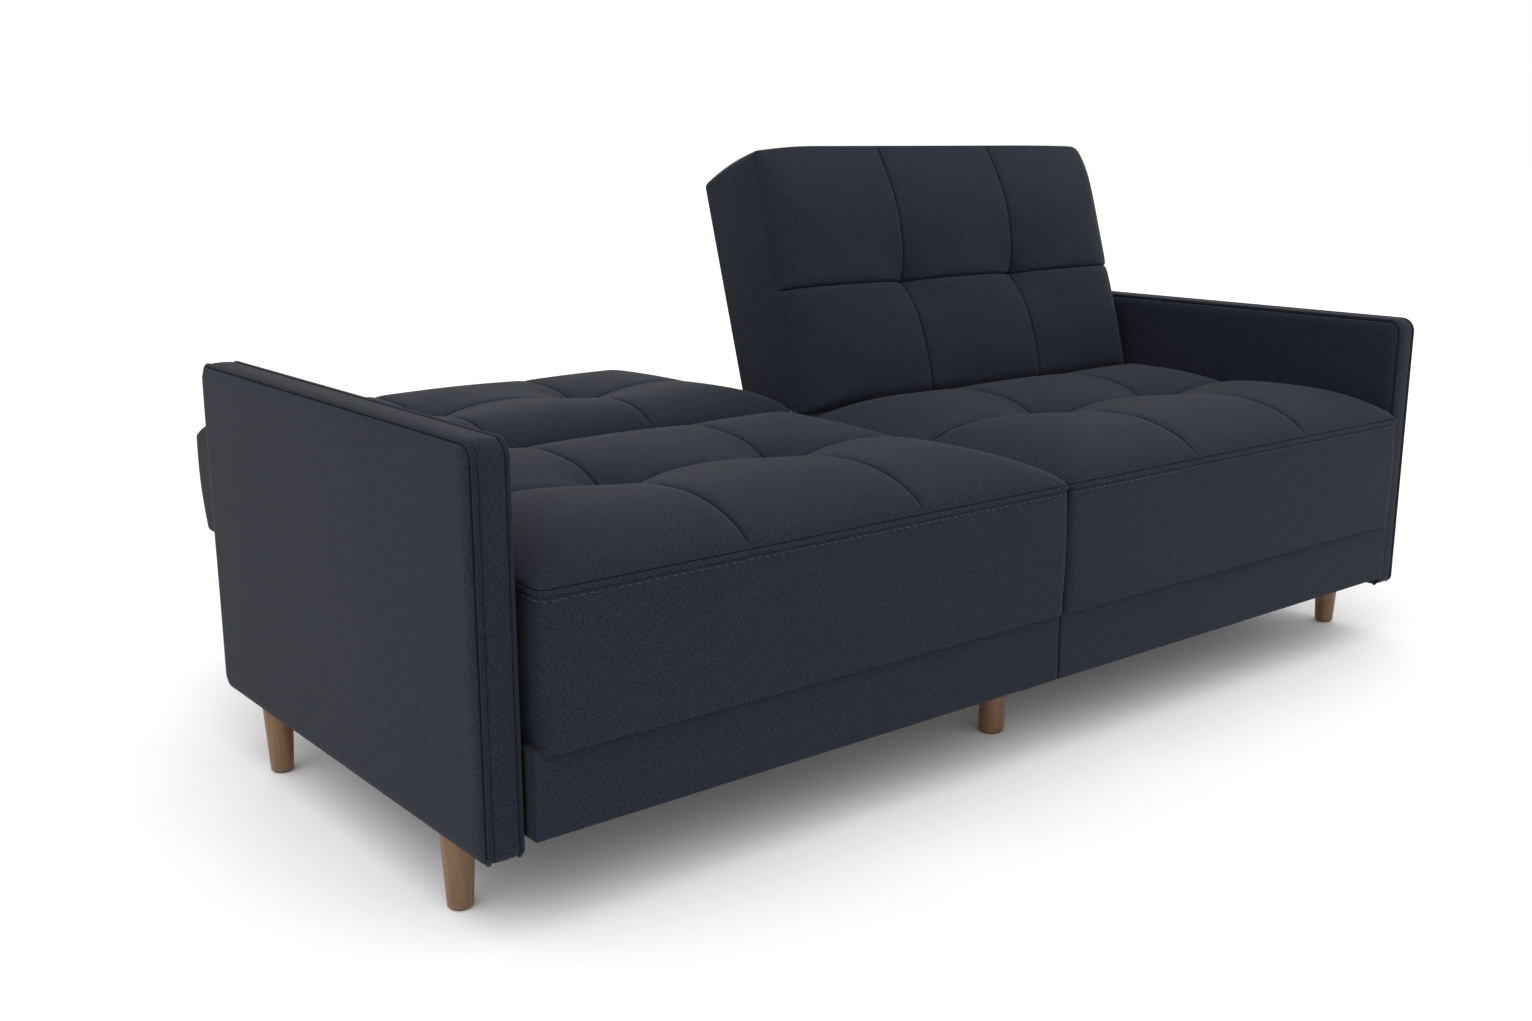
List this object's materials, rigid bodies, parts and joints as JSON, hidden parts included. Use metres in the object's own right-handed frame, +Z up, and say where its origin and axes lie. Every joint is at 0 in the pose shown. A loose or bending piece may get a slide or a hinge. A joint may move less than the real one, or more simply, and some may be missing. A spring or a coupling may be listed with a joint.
{
  "type": "futon sofa bed",
  "caption": "Upholstered split-back sofa bed: slab arms, tufted seats, two backs that each fold flat on click-clack hinges, round wooden legs.",
  "frame": {"origin": "on the floor, midway in the overall width and in the overall depth of the rest pose", "axes": "+X along the width to the right of someone looking at the front, -Y towards the front, +Z up"},
  "size_m": [1.943, 1.112, 0.8995],
  "materials": {
    "linen": "matte",
    "dark_fabric": "matte",
    "coil_cloth": "matte",
    "timber": "matte",
    "walnut": "satin",
    "steel": "satin",
    "nylon": "matte"
  },
  "bodies": {
    "base": {"left_arm_core": "timber", "left_arm_outer_pad": "linen", "left_arm_inner_pad": "linen", "left_arm_border": "linen", "left_arm_piping": "linen", "right_arm_core": "timber", "right_arm_outer_pad": "linen", "right_arm_inner_pad": "linen", "right_arm_border": "linen", "right_arm_piping": "linen", "left_front_leg": "walnut", "left_rear_leg": "walnut", "right_front_leg": "walnut", "right_rear_leg": "walnut", "centre_front_leg": "walnut", "centre_rear_leg": "walnut", "leg_hanger_bolts": "steel", "leg_glides": "nylon", "centre_leg_plates": "steel", "arm_bolts": "steel", "left_seat_front_rail": "timber", "left_seat_rear_rail": "timber", "left_seat_end_rails": "timber", "left_seat_slats": "timber", "left_seat_deck": "timber", "left_seat_coils": "coil_cloth", "left_seat_cushion": "linen", "left_apron": "linen", "left_dust_cover": "dark_fabric", "right_seat_front_rail": "timber", "right_seat_rear_rail": "timber", "right_seat_end_rails": "timber", "right_seat_slats": "timber", "right_seat_deck": "timber", "right_seat_coils": "coil_cloth", "right_seat_cushion": "linen", "right_apron": "linen", "right_dust_cover": "dark_fabric", "centre_bolts": "steel", "hinge_seat_plates": "steel", "hinge_pins": "steel", "hinge_seat_bolts": "steel"},
    "left_back": {"left_back_side_rails": "timber", "left_back_top_rail": "timber", "left_back_bottom_rail": "timber", "left_back_coils": "coil_cloth", "left_back_cushion": "linen", "left_back_panel": "linen", "left_back_hinge_plates": "steel", "left_back_hinge_bolts": "steel"},
    "right_back": {"right_back_side_rails": "timber", "right_back_top_rail": "timber", "right_back_bottom_rail": "timber", "right_back_coils": "coil_cloth", "right_back_cushion": "linen", "right_back_panel": "linen", "right_back_hinge_plates": "steel", "right_back_hinge_bolts": "steel"},
    "left_pawls": {"left_hinge_pawls": "steel"},
    "right_pawls": {"right_hinge_pawls": "steel"}
  },
  "joints": [
    {"name": "left_back_fold", "type": "hinge", "parent": "base", "child": "left_back", "pos_m": [0, 0.086, 0.443], "axis": [1, 0, 0], "range_deg": [0, 86]},
    {"name": "right_back_fold", "type": "hinge", "parent": "base", "child": "right_back", "pos_m": [0, 0.086, 0.443], "axis": [1, 0, 0], "range_deg": [-76, 10]},
    {"name": "left_pawls_lift", "type": "hinge", "parent": "base", "child": "left_pawls", "pos_m": [-0.9, 0.056, 0.389], "axis": [-1, 0, 0], "range_deg": [0, 15], "stiffness_Nm_per_rad": 0.4, "springref_deg": -11.46},
    {"name": "right_pawls_lift", "type": "hinge", "parent": "base", "child": "right_pawls", "pos_m": [0.9, 0.056, 0.389], "axis": [-1, 0, 0], "range_deg": [0, 15], "stiffness_Nm_per_rad": 0.4, "springref_deg": -11.46}
  ]
}
